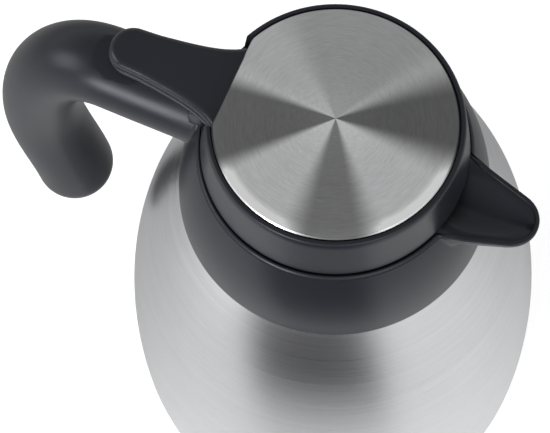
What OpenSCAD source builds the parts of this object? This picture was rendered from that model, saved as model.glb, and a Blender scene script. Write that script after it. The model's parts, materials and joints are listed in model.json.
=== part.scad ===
// Thermal carafe with a flip lid, an open spout and a one-armed handle.
// Millimetres. The origin is the centre of the base, on the table. +Z is up, +X points to the
// spout and -X to the handle. The lid turns on a pin that lies along Y behind its straight edge.

/* [Body] */
// Height of the steel shoulder where the collar starts
shoulder_z = 224.5; // [205:0.5:245]
// Radius of the steel shoulder where the collar starts
shoulder_r = 51.6; // [50.5:0.1:53]
// Slope of the shoulder there, in degrees from upright
shoulder_lean = 28.4; // [24:0.2:32]
// Radius of the body at its widest
belly_r = 78.6; // [74:0.1:84]
// Height of the widest place
belly_z = 70; // [55:1:85]
// Radius of the body at the bottom edge
base_r = 72.3; // [68:0.1:74]
// Thickness of the steel sheet of both vessels
sheet_t = 0.8; // [0.6:0.05:1.2]
// Empty space between the outer and the inner vessel
vacuum_gap = 6; // [4:0.5:9]
// Distance from the collar's rim in to the steel neck
neck_inset = 7; // [6.6:0.1:8]
// Height of the neck's lip above the shoulder line
neck_rise = 22; // [20:0.25:23]
// Space between the two necks
neck_gap = 1; // [0.6:0.1:1.4]

/* [Base] */
// Height of the recess under the bottom
base_recess = 7; // [5:0.5:10]
// Distance from the body's bottom edge in to the middle of the foot ring
foot_inset = 8.8; // [8.2:0.1:12]
// Width of the foot ring
foot_w = 6; // [4:0.5:7]
// Radius of the cover disc over the sealing point
cover_r = 17; // [12:0.5:24]
// Radius of the getter disc under the inner vessel
getter_r = 12; // [8:0.5:18]

/* [Collar] */
// Height of the collar from its lower edge to the seam under the lid
collar_h = 35.7; // [33:0.1:38]
// Outside radius of the collar at the seam
collar_rim_r = 43; // [40:0.1:46]
// Swell of the collar's side between its two edges
collar_swell = 1.6; // [0.4:0.1:2.6]
// Wall of the collar
collar_wall = 2.6; // [2:0.1:3.2]
// Distance from the outside of the neck in to the throat that the drink pours through
throat_inset = 7; // [6.4:0.1:9]
// Wall of the sleeve that reaches into the neck
sleeve_wall = 2.2; // [1.6:0.1:2.8]
// Length of that sleeve below the lip
sleeve_l = 18; // [10:0.5:24]
// Thickness of the gasket on the neck's lip
gasket_t = 1.2; // [0.8:0.1:2]
// Thickness of the collar's deck at the throat
deck_t = 2.5; // [2:0.1:3.2]
// Rise of the deck from the throat to the rim wall
deck_rise = 5.3; // [4:0.1:6]
// Thickness of the threaded ring that holds the collar on the neck
neck_ring_t = 2; // [1.4:0.1:2.4]

/* [Spout] */
// Distance from the axis to the tip of the spout
spout_reach = 68; // [62:0.5:76]
// Rise of the spout's rim from the seam to the tip
spout_rise = 7.3; // [4:0.1:11]
// Half width of the spout where it leaves the collar
spout_half_w = 15.7; // [13:0.1:17]
// Radius of the spout's tip seen from above
spout_tip_r = 4.8; // [4:0.1:6]
// Wall of the spout
spout_wall = 1.9; // [1.4:0.1:2.4]
// Depth of the spout's trough below the seam
spout_depth = 8; // [6:0.1:9]

/* [Lid] */
// Height of the lid from the seam to the rim of the steel plate
lid_h = 20.8; // [19:0.1:23]
// Open seam between collar and lid
seam_gap = 0.7; // [0.5:0.05:1]
// Step from the collar's rim in to the lid's foot
lid_inset = 0.3; // [0.2:0.05:0.6]
// Distance by which the lid's side leans in from its foot to its shoulder
lid_taper = 2.2; // [1.8:0.1:2.8]
// Wall of the lid
lid_wall = 2; // [1.6:0.1:2.4]
// Width of the lid's rounded shoulder round the plate
plate_margin = 2.5; // [2.3:0.1:3.5]
// Width of the segment that is cut off the round plate
chord_inset = 3.5; // [3:0.1:5]
// Thickness of the steel plate
plate_t = 1; // [0.8:0.1:1.4]
// Rise of the plate from its rim to its middle
plate_dome = 2.4; // [1:0.1:3]
// Open line between the plate and the lid
plate_gap = 0.3; // [0.2:0.05:0.5]
// Space between the stopper and the throat, which the seal bridges
stopper_gap = 2; // [1.6:0.1:2.4]
// Slope of the stopper's side, in degrees from upright
stopper_lean = 13; // [10:0.5:18]
// Depth of the stopper below the lid's liner
stopper_h = 17.5; // [14:0.5:20]
// Wall of the stopper
stopper_wall = 1.8; // [1.4:0.1:2.4]

/* [Lever] */
// Distance from the axis to the tip of the thumb lever
lever_reach = 76.2; // [72:0.2:80]
// Radius of the lever's tip
lever_tip_r = 7.4; // [6.5:0.1:8.4]
// Half width of the lever's root
lever_root_w = 15.2; // [14:0.1:16]
// Depth of the lever's top below the rim of the plate
lever_drop = 4.5; // [4:0.1:5.2]
// Thickness of the lever's cap
cap_t = 2.5; // [2.2:0.1:3]
// Height of the groove under the cap
groove_h = 0.5; // [0.3:0.1:0.8]
// Height of the lever's frame under the groove
frame_h = 3; // [2.6:0.1:3.4]
// Wall of the lever's frame
frame_wall = 1.6; // [1.2:0.1:2]

/* [Hinge] */
// Distance of the hinge pin behind the collar's rim
hinge_out = 0.5; // [0.3:0.1:1]
// Height of the hinge pin above the seam
hinge_rise = 4.8; // [4.5:0.1:5.2]
// Radius of the hinge pin
pin_r = 1.5; // [1.2:0.05:1.7]
// Radial running clearance of the knuckles on the pin
pin_fit = 0.05; // [0.03:0.01:0.08]
// Radius of the knuckles and lugs round the pin
knuckle_r = 3; // [2.8:0.05:3.2]
// Length of each knuckle
knuckle_l = 3.4; // [2.6:0.1:4]
// Space between the knuckles for the spring
spring_room = 9; // [7.5:0.1:10]
// Thickness of each lug on the collar
lug_t = 3; // [2.4:0.1:3.6]
// Angle through which the lid opens
lid_open = 13; // [8:0.5:13]
// Radius of the spring wire
wire_r = 0.4; // [0.3:0.05:0.5]
// Turns of the spring
spring_turns = 5; // [3:1:6]

/* [Handle] */
// Radius of the handle's arm
arm_r = 13.4; // [12:0.1:14]
// Radius of the handle near its free end
grip_r = 14.8; // [13.4:0.1:15.6]
// Drop of the arm's centre line below the seam
arm_drop = 9.4; // [9:0.1:11]
// Distance from the axis to the start of the bend
bend_x = 78; // [75:0.5:84]
// Distance from the axis to the grip's centre line
grip_x = 114.1; // [110:0.5:124]
// Drop of the grip's widest reach below the arm's centre line
grip_drop = 68.5; // [60:0.5:76]
// Length of the handle below that place
tail_l = 61; // [50:0.5:72]
// Distance by which the free end turns back to the body
tail_in = 6; // [2:0.5:10]
// Space left under the lever's tip when the lid is open
relief_gap = 0.9; // [0.6:0.1:1.4]
// Radius of the handle screws
screw_r = 2.5; // [2:0.1:3]

/* [Hidden] */
$fn = 96;
slack = 0.15;            // clearance between pieces that are assembled and stay still
over = 1;                // length by which a cut runs past the solid
curve_n = 18;            // points along a curved stretch of an outline
// body
neck_r = collar_rim_r - neck_inset;
neck_top = shoulder_z + neck_rise;
curl = 4;                // radius of the curl at the body's bottom edge
foot_z = 2.2;            // height of that edge over the table
foot_r = base_r - foot_inset;
foot_top = foot_z + 2.6; // seat of the foot ring under the base cup
low_lean = 9.9;          // slope of the body's side over the curl
low_pull = 32;           // lengths by which the curves' tangents pull
belly_pull = 57;
belly_low_pull = 16;
shoulder_pull = 42;
neck_pull = 7;
neck_bend = 14;          // height in which the shoulder turns into the neck
inner_neck_r = neck_r - sheet_t - neck_gap;
inner_base_z = 13;
inner_curl = 13;
inner_shoulder = [shoulder_r - vacuum_gap - 1.3, shoulder_z - vacuum_gap - 0.8];
// collar
seam_z = shoulder_z + collar_h;
deck_z = neck_top + gasket_t;
seat_z = deck_z + deck_t;
throat_r = neck_r - throat_inset;
rim_wall_r = collar_rim_r - collar_wall - 0.2;
seat_w = 4;
skirt_r = neck_r + neck_ring_t + slack;
skirt_t = 2;
skirt_l = 8;
neck_ring_h = 6;
thread_t = 1;
// spout
spout_mid_x = (collar_rim_r + spout_reach) / 2 - 3;
spout_tip_x = spout_reach - spout_tip_r;
spout_keel_z = seam_z - spout_depth - 5;
spout_floor_z = seam_z - spout_depth;
spout_room = spout_wall - 1.5;
// lid
lid_foot_r = collar_rim_r - lid_inset;
corner_out = 0.05;       // by which the rounded corner's end clears the foot's edge
lid_top_r = lid_foot_r - lid_taper;
plate_r = lid_top_r - plate_margin;
chord_x = plate_r - chord_inset;
stopper_r = throat_r - stopper_gap;
flange_r = stopper_r + 2.5;
lid_z = seam_z + seam_gap;
rim_z = seam_z + lid_h;
flat_x = chord_x + 5.1;  // the lid's flat back, behind the plate's straight edge
corner_r = 3.5;
plate_edge = 0.5;        // bevel round the plate
plate_bed = rim_z - plate_t - plate_edge;
liner_z = lid_z + 0.4;
liner_t = 2.2;
liner_r = lid_foot_r - lid_wall - 0.6;
boss_r = (flange_r + liner_r) / 2;
boss_angles = [30, 150, 210, 330];
lid_screw_r = 1.1;
lid_screw_l = 9;
lid_screw_head = 1.4;
stopper_top = liner_z;
stopper_z = stopper_top - stopper_h;
seal_z = seat_z + 1.5;
seal_h = 3.2;
// lever
lever_z = rim_z - lever_drop;
frame_z = lever_z - cap_t - groove_h - frame_h;
tip_x = lever_reach - lever_tip_r;
tip_turn = 84;           // angle at which the lever's side meets its round tip
seat_x = chord_x + plate_gap;    // face of the lid that the lever's root lies on
lever_screw_y = 8;
lever_screw_l = 7.5;
lever_screw_z = frame_z + frame_h / 2;
// hinge
hinge_x = collar_rim_r + hinge_out;
hinge_z = seam_z + hinge_rise;
knuckle_y = spring_room / 2;
lug_y = knuckle_y + knuckle_l + 0.3;
pin_l = 2 * (lug_y + lug_t) + 0.4;
// handle
arm_z = seam_z - arm_drop;
screw_z = arm_z - 8.3;
screw_y = 5.5;
screw_x = skirt_r + skirt_t + 3.65;
screw_l = 18;
screw_head_r = screw_r * 1.6;
screw_head_h = 2;
screw_boss = 3;          // depth of the boss behind the collar's wall
// height of the dish in the arm: just under the lever's tip when the lid is open
relief_z = hinge_z + (frame_z - hinge_z) * cos(lid_open) - (lever_reach - hinge_x) * sin(lid_open)
    - relief_gap;

// ---- curves ----
function bez(a, b, c, d, n = curve_n) = [for (i = [0:n])
    let (t = i / n, s = 1 - t) s*s*s * a + 3*s*s*t * b + 3*s*t*t * c + t*t*t * d];
function arc(cx, cy, r, from, to, n = 8) = [for (i = [0:n])
    let (a = from + (to - from) * i / n) [cx + r * cos(a), cy + r * sin(a)]];
function drop_first(list) = [for (i = [1:len(list) - 1]) list[i]];
function flip(list) = [for (i = [len(list) - 1:-1:0]) list[i]];
function unit(v) = v / norm(v);

// Side of the body from its bottom edge to the shoulder, moved in by a distance.
function body_side(in = 0, low = foot_z + curl) = let (
    base = [base_r - in, low],
    belly = [belly_r - in, belly_z],
    top = in == 0 ? [shoulder_r, shoulder_z] : inner_shoulder)
    concat(
        bez(base, base + low_pull * [sin(low_lean), cos(low_lean)],
            belly - [0, belly_low_pull], belly),
        drop_first(bez(belly, belly + [0, belly_pull],
            top + shoulder_pull * [sin(shoulder_lean), -cos(shoulder_lean)], top, 24)));
// Hidden shoulder and neck of the outer vessel, under the collar.
neck_curve = drop_first(bez([shoulder_r, shoulder_z],
    [shoulder_r, shoulder_z] + neck_pull * [-sin(shoulder_lean), cos(shoulder_lean)],
    [neck_r, shoulder_z + neck_bend / 2], [neck_r, shoulder_z + neck_bend], 8));
outer_side = concat(arc(base_r - curl, foot_z + curl, curl, -90, -10, 6), body_side(),
    neck_curve, [[neck_r, neck_top]]);
inner_side = concat(
    [[0, inner_base_z + 2]],
    [[20, inner_base_z + 1.5]],
    arc(base_r - vacuum_gap - inner_curl, inner_base_z + inner_curl, inner_curl, -90, -14, 6),
    body_side(vacuum_gap, inner_base_z + inner_curl + 1),
    drop_first(bez(inner_shoulder, inner_shoulder + 5 * [-sin(shoulder_lean), cos(shoulder_lean)],
        [inner_neck_r, shoulder_z + 1], [inner_neck_r, shoulder_z + 8], 8)),
    [[inner_neck_r, neck_top - 2]]);

// A sheet-metal vessel: the outline and the same outline moved inwards by the sheet's thickness.
module sheet(side, t) {
    n = len(side) - 1;
    function normal(i) = let (d = unit(side[min(i + 1, n)] - side[max(i - 1, 0)])) [-d.y, d.x];
    inside = [for (i = [0:n]) let (p = side[i] + t * normal(i)) [max(p.x, 0), p.y]];
    rotate_extrude() polygon(concat(side, flip(inside)));
}

// A skin over rings of points that all have the same number of points. Each end is closed by
// strips that run from a point of the ring to the one opposite.
module loft(rings) {
    m = len(rings[0]);
    n = len(rings);
    end = (n - 1) * m;
    half = floor(m / 2);
    polyhedron(
        points = [for (ring = rings) each ring],
        faces = concat(
            [for (j = [0:half - 1]) if (j + 1 < m - 2 - j) [m - 2 - j, j + 1, j]],
            [for (j = [0:half - 1]) if (j < m - 2 - j) [m - 1 - j, m - 2 - j, j]],
            [for (j = [0:half - 1]) if (j + 1 < m - 2 - j) [end + j, end + j + 1, end + m - 2 - j]],
            [for (j = [0:half - 1]) if (j < m - 2 - j) [end + j, end + m - 2 - j, end + m - 1 - j]],
            [for (i = [0:n - 2], j = [0:m - 1]) let (k = (j + 1) % m)
                [i * m + j, i * m + k, (i + 1) * m + k]],
            [for (i = [0:n - 2], j = [0:m - 1]) let (k = (j + 1) % m)
                [i * m + j, (i + 1) * m + k, (i + 1) * m + j]]),
        convexity = 6);
}

// Round rings along a path that lies in the XZ plane, with the radius at each point.
function tube_rings(path, radii, sides) = let (n = len(path) - 1) [for (i = [0:n]) let (
    d = unit(path[min(i + 1, n)] - path[max(i - 1, 0)]),
    up = [-d.y, d.x])
    [for (j = [0:sides - 1]) let (a = 360 * j / sides, u = radii[i] * cos(a))
        [path[i].x + up.x * u, radii[i] * sin(a), path[i].y + up.y * u]]];

// ---- steel body ----
module outer_shell() {
    color([0.72, 0.72, 0.73]) sheet(outer_side, sheet_t);
}

module inner_flask() {
    color([0.78, 0.78, 0.79]) {
        sheet(inner_side, sheet_t);
        translate([0, 0, neck_top - 2.2]) difference() {
            cylinder(h = 2.2, r = neck_r - sheet_t);
            translate([0, 0, -over]) cylinder(h = 2.2 + 2 * over, r = inner_neck_r - sheet_t);
        }
    }
}

module base_cup() {
    rim = base_r - curl;
    color([0.7, 0.7, 0.71]) sheet([
        [0, base_recess], [foot_r - foot_w, base_recess], [foot_r - foot_w / 2 - 0.8, foot_top],
        [foot_r + foot_w / 2 + 0.8, foot_top], [rim - 1.5, foot_z], [rim - 0.2, foot_z]], sheet_t);
}

module base_cover() {
    color([0.75, 0.75, 0.76]) translate([0, 0, base_recess - 1.2]) cylinder(h = 1.2, r = cover_r);
}

module getter() {
    color([0.5, 0.5, 0.5]) translate([0, 0, base_recess + sheet_t]) cylinder(h = 2, r = getter_r);
}

module foot_ring() {
    color([0.09, 0.09, 0.1]) rotate_extrude() polygon(concat(
        [[foot_r - foot_w / 2, foot_top], [foot_r - foot_w / 2, 0.8]],
        [[foot_r - foot_w / 2 + 0.8, 0], [foot_r + foot_w / 2 - 0.8, 0]],
        [[foot_r + foot_w / 2, 0.8], [foot_r + foot_w / 2, foot_top]]));
}

module neck_ring() {
    color([0.7, 0.7, 0.71]) translate([0, 0, neck_top - neck_ring_h - thread_t]) difference() {
        union() {
            cylinder(h = neck_ring_h, r = neck_r + neck_ring_t * 0.5);
            for (i = [0:2]) translate([0, 0, thread_t * (0.1 + 2.2 * i)])
                cylinder(h = thread_t, r = neck_r + neck_ring_t);
        }
        translate([0, 0, -over]) cylinder(h = neck_ring_h + 2 * over, r = neck_r);
    }
}

module neck_gasket() {
    color([0.85, 0.84, 0.8]) translate([0, 0, neck_top]) difference() {
        cylinder(h = gasket_t, r = neck_r);
        translate([0, 0, -over]) cylinder(h = gasket_t + 2 * over, r = inner_neck_r - sheet_t);
    }
}

// ---- collar and spout ----
// Outside of the collar, from its lower edge to the bevel under the seam.
collar_low_r = shoulder_r + 0.3;
collar_side = bez([collar_low_r, shoulder_z],
    [collar_low_r - 1.4 + collar_swell * 0.6, shoulder_z + collar_h * 0.33],
    [collar_rim_r + 3.4 + collar_swell, shoulder_z + collar_h * 0.68],
    [collar_rim_r, seam_z - 1]);
// Radius of that side at a height.
function side_r(z) = lookup(z, [for (p = collar_side) [p.y, p.x]]);

module collar_blank() {
    rotate_extrude() polygon(concat(
        collar_side,
        [[collar_rim_r - 0.6, seam_z], [rim_wall_r, seam_z]],
        [[rim_wall_r, seat_z + deck_rise + 0.3], [rim_wall_r - 0.5, seat_z + deck_rise]],
        [[throat_r + seat_w, seat_z + seat_w * 0.5], [throat_r + 0.5, seat_z]],
        [[throat_r, seat_z - 0.7], [throat_r, neck_top - sleeve_l]],
        [[throat_r + sleeve_wall, neck_top - sleeve_l], [throat_r + sleeve_wall, deck_z]],
        [[skirt_r, deck_z], [skirt_r, neck_top - skirt_l]],
        [[skirt_r + skirt_t, neck_top - skirt_l], [skirt_r + skirt_t, deck_z]],
        [[side_r(deck_z) - collar_wall - 0.6, deck_z], [collar_low_r - collar_wall, shoulder_z]]));
}

// Place of the spout's rim at a distance from the axis: its half width and its height.
function spout_w(x) = let (root = sqrt(pow(collar_rim_r, 2) - pow(spout_half_w, 2)),
    run = spout_reach - spout_tip_r - root)
    spout_half_w + (spout_tip_r - spout_half_w) * (x - root) / run;
function spout_z(x) = seam_z + spout_rise * max(x - collar_rim_r, 0) / (spout_reach - collar_rim_r);

// One cross-section of the spout: two upper corners and a round keel, in a thin slice.
module spout_slice(x, half_w, top, keel, keel_r) {
    slice = 0.1;
    translate([x, 0, 0]) rotate([90, 0, 90]) linear_extrude(slice) {
        for (s = [-1, 1]) translate([s * (half_w - 0.4), top - 0.4]) circle(r = 0.4, $fn = 16);
        translate([0, keel + keel_r]) circle(r = keel_r, $fn = 28);
    }
}

// The slice halfway along the spout, wider or higher by given amounts.
module spout_middle(wider, higher, keel_z, keel_r) {
    spout_slice(spout_mid_x, spout_w(spout_mid_x) + wider, spout_z(spout_mid_x) + higher,
        keel_z, keel_r);
}

module spout_outside() {
    root_x = rim_wall_r - 1.5;
    mid_keel_z = spout_keel_z + 6.5;
    mid_keel_r = 4.5;
    chin_r = 2.6;
    lip = 0.4;
    tip_z = spout_z(spout_tip_x);
    hull() {
        spout_slice(root_x, spout_w(root_x), seam_z, spout_keel_z - 2, 6);
        spout_middle(0, 0, mid_keel_z, mid_keel_r);
    }
    hull() {
        spout_middle(0, 0, mid_keel_z, mid_keel_r);
        for (u = [0, 1]) translate([spout_tip_x, 0, tip_z - chin_r + u * 0.8])
            cylinder(h = 1.8, r = spout_tip_r - 1 + u, $fn = 32);
        translate([spout_reach - lip, 0, spout_z(spout_reach) - lip]) sphere(r = lip, $fn = 16);
        translate([spout_tip_x, 0, tip_z - chin_r - 1.9]) sphere(r = chin_r, $fn = 24);
    }
}

module spout_inside() {
    root_x = throat_r + seat_w + 0.5;
    mid_keel_z = spout_floor_z + 4.2;
    mid_keel_r = 2.6;
    rise = 4;
    end_r = 1.8;
    tip_z = spout_z(spout_tip_x);
    hull() {
        spout_slice(root_x, spout_w(rim_wall_r) - spout_room, seam_z + rise, spout_floor_z, 3.5);
        spout_middle(-spout_room, rise, mid_keel_z, mid_keel_r);
    }
    hull() {
        spout_middle(-spout_room, rise, mid_keel_z, mid_keel_r);
        translate([spout_tip_x + 0.2, 0, tip_z + rise])
            cylinder(h = 1, r = spout_tip_r - spout_wall + 1.2, $fn = 32);
        translate([spout_tip_x, 0, tip_z - 0.4]) sphere(r = end_r, $fn = 24);
    }
}

// The lugs of the hinge stand on the collar's rim behind the lid.
module collar_lugs(grow = 0) {
    for (s = [-1, 1]) translate([-hinge_x, s * (lug_y + lug_t / 2), 0]) {
        translate([0, 0, hinge_z]) rotate([90, 0, 0])
            cylinder(h = lug_t + 2 * grow, r = knuckle_r + grow, center = true);
        translate([-knuckle_r - grow, -lug_t / 2 - grow, seam_z - 5])
            cube([2 * (knuckle_r + grow), lug_t + 2 * grow, hinge_rise + 5]);
    }
}

module collar() {
    color([0.13, 0.13, 0.14]) difference() {
        union() {
            collar_blank();
            difference() {
                spout_outside();
                cylinder(h = 2 * seam_z, r = rim_wall_r + 0.6);
            }
            difference() {
                collar_lugs();
                cylinder(h = 2 * seam_z, r = rim_wall_r);
            }
            at_screws() cylinder(h = screw_boss, r = screw_head_r);
        }
        body_room();
        spout_inside();
        translate([-hinge_x, 0, hinge_z]) rotate([90, 0, 0])
            cylinder(h = pin_l + 2 * over, r = pin_r, center = true);
        at_screws() translate([0, 0, -over]) cylinder(h = 2 * over + 2 * screw_boss, r = screw_r + slack);
    }
}

// The steel shoulder with a small clearance, cut out of what stands on it.
module body_room() {
    low = shoulder_z - 2 * collar_h;
    rotate_extrude() polygon(concat(
        [for (p = body_side()) if (p.y > low) p + [slack, 0]],
        [for (p = neck_curve) p + [slack, slack]],
        [[0, shoulder_z + neck_bend], [0, low]]));
}

// Places of the screws that run from inside the collar into the handle, pointing to the handle.
module at_screws() {
    for (s = [-1, 1]) translate([-screw_x, s * screw_y, screw_z]) rotate([0, -90, 0]) children();
}

// ---- handle ----
module handle() {
    sides = 28;
    end_z = arm_z - grip_drop - tail_l;
    reach = [-grip_x, arm_z - grip_drop];
    tail = [-grip_x + tail_in, end_z + grip_r];
    start = [-bend_x, arm_z];
    arm_pull = 22;
    reach_pull = 26.8;
    tail_pull = 16;
    line = concat(
        [[-collar_rim_r + 3, arm_z], [(-collar_rim_r - bend_x) / 2, arm_z]],
        bez(start, start - [arm_pull, 0], reach + [0, reach_pull], reach, 20),
        drop_first(bez(reach, reach - [0, tail_pull], tail + [-1.4, tail_pull], tail, 12)));
    n = len(line);
    radii = [for (i = [0:n - 1]) let (t = max(0, (arm_z - line[i].y) / (arm_z - tail.y)))
        arm_r + (grip_r - arm_r) * pow(t, 1.5)];
    // a dome closes the free end
    cut_z = seam_z + 3 * knuckle_r;
    dir = unit(line[n - 1] - line[n - 2]);
    dome = [for (a = [15:15:90]) line[n - 1] + dir * grip_r * sin(a)];
    dome_r = [for (a = [15:15:90]) max(grip_r * cos(a), 0.4)];
    color([0.13, 0.13, 0.14]) difference() {
        loft(tube_rings(concat(line, dome), concat(radii, dome_r), sides));
        rotate_extrude() polygon(concat(collar_side,
            [[collar_rim_r, cut_z], [0, cut_z], [0, shoulder_z]]));
        collar_lugs();
        hinge_room();
        lever_relief();
        at_screws() cylinder(h = screw_l + 0.5, r = screw_r);
    }
}

// Room for the knuckles, the spring and the root of the lever over the handle's arm.
module hinge_room() {
    width = 2 * (lug_y + 0.1);
    translate([-hinge_x, 0, hinge_z]) rotate([90, 0, 0])
        cylinder(h = width, r = knuckle_r + 0.6, center = true);
    translate([-hinge_x, -width / 2, hinge_z]) cube([3 * knuckle_r, width, 4 * knuckle_r]);
}

// A shallow dish in the top of the arm gives the lever's tip room to go down.
module lever_relief() {
    r = 22;
    translate([3.2 - lever_reach, 0, relief_z + r]) rotate([90, 0, 0])
        cylinder(h = 3 * arm_r, r = r, center = true);
}

module handle_screws() {
    color([0.6, 0.6, 0.62]) at_screws() {
        cylinder(h = screw_l, r = screw_r - 0.02);
        translate([0, 0, -screw_head_h]) cylinder(h = screw_head_h, r = screw_head_r);
    }
}

// ---- hinge ----
module hinge_pin() {
    color([0.75, 0.75, 0.76]) translate([-hinge_x, 0, hinge_z]) rotate([90, 0, 0])
        cylinder(h = pin_l, r = pin_r, center = true);
}

// A torsion spring round the pin; one leg stands in the collar, the other lies under the lever.
module hinge_spring() {
    coil_r = pin_r + 0.5 + wire_r;
    steps = 14;
    pitch = 2 * wire_r + 0.45;
    half = spring_turns * pitch / 2;
    leg = hinge_rise - 0.1;
    sides = 6;
    n = spring_turns * steps;
    coil = [for (i = [0:n]) let (a = 360 * i / steps)
        [-hinge_x + coil_r * cos(a), -half + pitch * i / steps, hinge_z + coil_r * sin(a)]];
    path = concat([coil[0] + [0, 0, -leg]], coil, [coil[n] + [0, 0, 3.4]]);
    echo(spring_gap_mm = pitch - 2 * wire_r);
    color([0.75, 0.75, 0.76]) loft([for (i = [0:len(path) - 1]) let (
        d = unit(path[min(i + 1, len(path) - 1)] - path[max(i - 1, 0)]),
        u = unit(cross(d, [0, 1, 0])),
        v = cross(u, d))
        [for (j = [0:sides - 1]) let (a = 360 * j / sides)
            path[i] + wire_r * (cos(a) * u + sin(a) * v)]]);
}

// ---- lid ----
// Everything in front of the lid's flat back, with its two upright corners rounded.
module d_keep(x = flat_x, r = lid_foot_r + corner_out, corner = corner_r) {
    far = 2 * lid_foot_r;
    low = seam_z - lid_h;
    tall = 3 * lid_h;
    past = x + 2 * corner_r;
    cx = x - corner;
    cy = sqrt(pow(r - corner, 2) - pow(cx, 2));
    out = (r + 2 * corner_r) / (r - corner);
    difference() {
        translate([-x, -far / 2, low]) cube([far, far, tall]);
        for (s = [-1, 1]) difference() {
            translate([0, 0, low - over]) linear_extrude(tall + 2 * over)
                polygon([[-cx, s * cy], [-past, s * cy], [-past, s * cy * out], [-cx, s * cy] * out]);
            translate([-cx, s * cy, low - 2 * over]) cylinder(h = tall + 4 * over, r = corner);
        }
    }
}

// Height of the domed bed of the plate at a radius.
function dome_z(r) = plate_dome * (1 - pow(r / plate_r, 2));
dome_n = 8;
function dome_line(r, z) = [for (i = [dome_n:-1:0]) let (q = min(plate_r * i / dome_n, r))
    if (i == dome_n || q < r) let (x = i == dome_n ? r : q) [x, z + dome_z(x)]];

module lid_shell() {
    edge = rim_z - 0.5;
    side_top = [lid_top_r, rim_z - 3.3];
    bed = plate_bed - slack;
    in_foot = [lid_foot_r - lid_wall, lid_z + 0.4];
    in_top = [lid_top_r - lid_wall - 0.2, bed - lid_wall];
    color([0.13, 0.13, 0.14]) difference() {
        intersection() {
            rotate_extrude() polygon(concat(
                [[0, lid_z], [lid_foot_r - 0.4, lid_z], [lid_foot_r, lid_z + 0.4], side_top],
                drop_first(bez(side_top, side_top + [-0.3, 1.7], [plate_r + 1.5, edge],
                    [plate_r + plate_gap + 0.4, edge], 6)),
                [[plate_r + plate_gap, edge - 0.3]], dome_line(plate_r + plate_gap, bed)));
            d_keep();
        }
        difference() {
            rotate_extrude() polygon(concat([[0, lid_z - over], [in_foot.x, lid_z - over], in_foot],
                dome_line(in_top.x, in_top.y)));
            back_of(flat_x - lid_wall, 0);
            back_of(seat_x - lid_wall, frame_z - slack - lid_wall);
        }
        lever_seat();
        at_lever_screws() translate([0, 0, -over])
            cylinder(h = lever_screw_l + over, r = lid_screw_r + slack);
    }
    color([0.13, 0.13, 0.14]) lid_bosses();
}

// All that lies behind an upright plane, above a height.
module back_of(x, z) {
    translate([-x - 2 * lid_foot_r, -lid_foot_r, z])
        cube([2 * lid_foot_r, 2 * lid_foot_r, rim_z]);
}

// Places of the screws that run from inside the lid into the lever, pointing to the lever.
module at_lever_screws() {
    for (s = [-1, 1]) translate([-seat_x + lid_wall, s * lever_screw_y, lever_screw_z])
        rotate([0, -90, 0]) children();
}

// Posts inside the lid that take the screws of the liner.
module lid_bosses() {
    boss_z = liner_z + liner_t;
    for (a = boss_angles) rotate([0, 0, a]) translate([boss_r, 0, boss_z]) difference() {
        cylinder(h = plate_bed - 1 - boss_z, r = lid_screw_r + 1.7);
        translate([0, 0, -over]) cylinder(h = lid_screw_l + over, r = lid_screw_r);
    }
}

// The lid is cut away behind the plate where the lever's root lies.
module lever_seat() {
    half_w = lever_root_w + 1.2;
    far = 2 * corner_r;
    translate([-flat_x - far, -half_w, frame_z - slack])
        cube([far + flat_x - seat_x, 2 * half_w, lid_h]);
}

module lid_plate() {
    color([0.8, 0.8, 0.81]) intersection() {
        rotate_extrude() polygon(concat(
            [[0, plate_bed + plate_dome]], flip(dome_line(plate_r - 0.3, plate_bed)),
            [[plate_r, plate_bed + 0.3], [plate_r, rim_z - 0.5], [plate_r - 0.7, rim_z]],
            drop_first(dome_line(plate_r - 0.7, plate_bed + 1.5 - dome_z(plate_r - 0.7)))));
        translate([-chord_x, -plate_r - over, 0]) cube([3 * plate_r, 2 * (plate_r + over), 2 * rim_z]);
    }
}

// A thin adhesive pad holds the plate in its bed.
module plate_pad() {
    r = plate_r * (dome_n - 1) / dome_n;
    color([0.3, 0.3, 0.3]) intersection() {
        rotate_extrude() polygon(concat([[0, plate_bed - slack + plate_dome]],
            flip(dome_line(r, plate_bed - slack)), dome_line(r, plate_bed)));
        translate([-chord_x + 3, -plate_r, 0]) cube([3 * plate_r, 2 * plate_r, 2 * rim_z]);
    }
}

module lid_liner() {
    lip_r = rim_wall_r - 1.2;
    lip_t = 1.6;
    hole_r = stopper_r - 2;
    color([0.16, 0.16, 0.17]) intersection() {
        difference() {
            union() {
                translate([0, 0, liner_z]) cylinder(h = liner_t, r = liner_r);
                translate([0, 0, liner_z - 2]) cylinder(h = 2, r = lip_r);
            }
            translate([0, 0, liner_z - 2 - over]) cylinder(h = 2 + over, r = lip_r - lip_t);
            for (a = boss_angles) rotate([0, 0, a]) translate([boss_r, 0, liner_z - over])
                cylinder(h = liner_t + 2 * over, r = lid_screw_r + 0.3);
            translate([0, 0, liner_z - over]) cylinder(h = liner_t + 2 * over, r = hole_r);
        }
        d_keep(flat_x - lid_wall - 0.3, liner_r, 2);
    }
}

module lid_screws() {
    color([0.6, 0.6, 0.62]) for (a = boss_angles) rotate([0, 0, a])
        translate([boss_r, 0, liner_z - lid_screw_head]) {
            cylinder(h = lid_screw_head, r = lid_screw_r * 2.1);
            cylinder(h = lid_screw_l, r = lid_screw_r);
        }
}

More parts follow.
